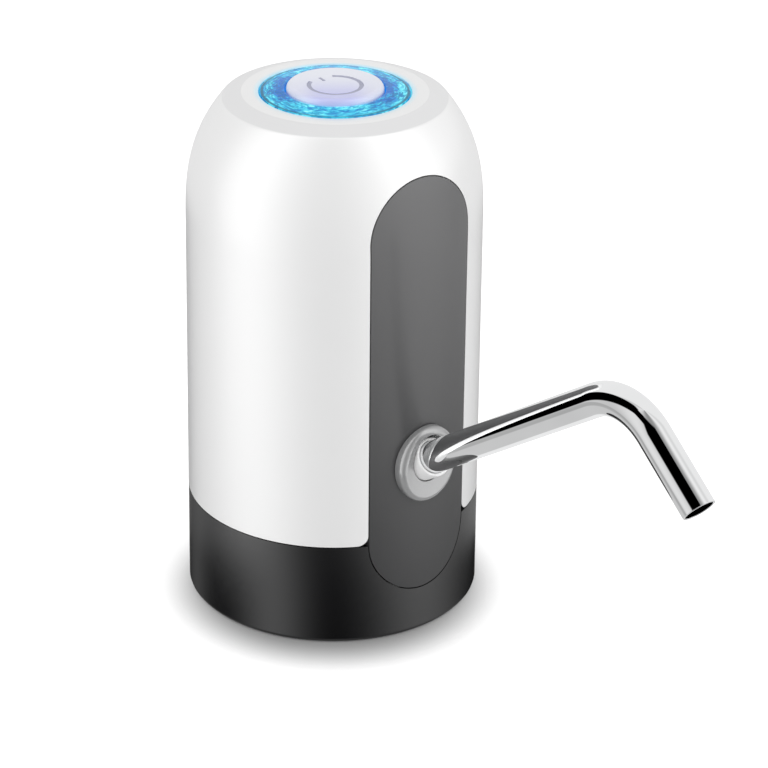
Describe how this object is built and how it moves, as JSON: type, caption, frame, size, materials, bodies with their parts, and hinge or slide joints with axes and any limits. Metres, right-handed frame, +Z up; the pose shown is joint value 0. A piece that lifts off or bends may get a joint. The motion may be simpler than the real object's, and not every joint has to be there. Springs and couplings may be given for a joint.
{
  "type": "electric water dispenser",
  "caption": "Bottle-top electric water pump: domed body on a collar that drops over a bottle neck, curved pull-out spout, button in a lit ring.",
  "frame": {"origin": "Centre of the underside of the overall box, on the surface that the base stands on. The body's own axis is 46.75 mm behind it.", "axes": "+Z up, -Y the way the spout leaves, +Y towards the charging port, X across the body."},
  "size_m": [0.072, 0.1654, 0.13],
  "materials": {
    "white_gloss": "glossy moulded white",
    "white_satin": "satin moulded white",
    "black_gloss": "glossy moulded black",
    "black_satin": "satin moulded black",
    "panel_grey": "semi-gloss dark grey",
    "rosette_grey": "satin light grey",
    "seal_grey": "soft grey",
    "chrome": "polished",
    "steel": "bright steel",
    "zinc": "zinc plated",
    "nickel": "nickel plated",
    "bronze": "sintered",
    "copper": "bare",
    "lamination": "varnished steel",
    "ferrite": "dull",
    "pump_plastic": "moulded dark grey",
    "gear_white": "natural",
    "chassis_white": "moulded white",
    "battery_wrap": "shrink wrap over a metal can",
    "board_green": "solder mask",
    "switch_black": "moulded black",
    "led_white": "lens",
    "clear_blue": "clear, lit blue from behind",
    "button_white": "glossy white",
    "silicone": "soft",
    "rubber_black": "soft",
    "wire_red": "insulation",
    "wire_black": "insulation"
  },
  "bodies": {
    "housing": {"base_cup": "black_gloss", "neck_socket": "black_satin", "neck_seal": "seal_grey", "base_screw_1": "steel", "base_screw_2": "steel", "base_screw_3": "steel", "top_shell": "white_gloss", "front_panel": "panel_grey", "outlet_escutcheon": "rosette_grey", "outlet_elbow": "white_satin", "outlet_hose": "silicone", "inlet_nozzle": "white_satin", "inlet_o_ring": "rubber_black", "chassis": "chassis_white", "pump_body": "pump_plastic", "pump_cover": "pump_plastic", "pump_screw_1": "steel", "pump_screw_2": "steel", "pump_screw_3": "steel", "pump_screw_4": "steel", "shaft_seal": "rubber_black", "idler_pin": "steel", "motor_can": "zinc", "motor_end_cap": "black_satin", "motor_bushing": "bronze", "motor_magnet_left": "ferrite", "motor_magnet_right": "ferrite", "motor_terminal_left": "copper", "motor_terminal_right": "copper", "motor_lead_red": "wire_red", "motor_lead_black": "wire_black", "battery_cell": "battery_wrap", "battery_holder": "black_satin", "battery_tab_lower": "nickel", "battery_tab_upper": "nickel", "battery_lead_red": "wire_red", "battery_lead_black": "wire_black", "charge_board": "board_green", "usb_receptacle": "nickel", "port_frame": "black_satin", "control_board": "board_green", "tact_switch": "switch_black", "ring_led_1": "led_white", "ring_led_2": "led_white", "ring_led_3": "led_white", "ring_led_4": "led_white", "ring_led_5": "led_white", "ring_led_6": "led_white", "light_ring": "clear_blue"},
    "spout_collar": {"spout_ferrule": "white_gloss", "ferrule_o_ring": "rubber_black"},
    "spout": {"spout_pipe": "chrome"},
    "button": {"power_button": "button_white", "switch_plunger": "gear_white"},
    "rotor": {"motor_shaft": "steel", "armature": "lamination", "commutator": "copper", "drive_gear": "gear_white"},
    "idler": {"idler_gear": "gear_white"}
  },
  "joints": [
    {"name": "spout_swivel", "type": "hinge", "parent": "housing", "child": "spout_collar", "pos_m": [0, 0.01106, 0.04579], "axis": [0, -0.8281, 0.5606], "continuous": true},
    {"name": "spout_pull", "type": "slide", "parent": "spout_collar", "child": "spout", "axis": [0, -0.8281, 0.5606], "range_m": [0, 0.0125]},
    {"name": "button_press", "type": "slide", "parent": "housing", "child": "button", "axis": [0, 0, -1], "range_m": [0, 0.0006], "stiffness_N_per_m": 1500},
    {"name": "rotor_spin", "type": "hinge", "parent": "housing", "child": "rotor", "pos_m": [-0.005, 0.04214, 0.0385], "axis": [0, 0, 1], "continuous": true},
    {"name": "idler_spin", "type": "hinge", "parent": "housing", "child": "idler", "pos_m": [0.005, 0.04214, 0.0385], "axis": [0, 0, 1], "continuous": true}
  ],
  "couplings": [
    {"joint": "idler_spin", "follows": "rotor_spin", "ratio": -1}
  ]
}
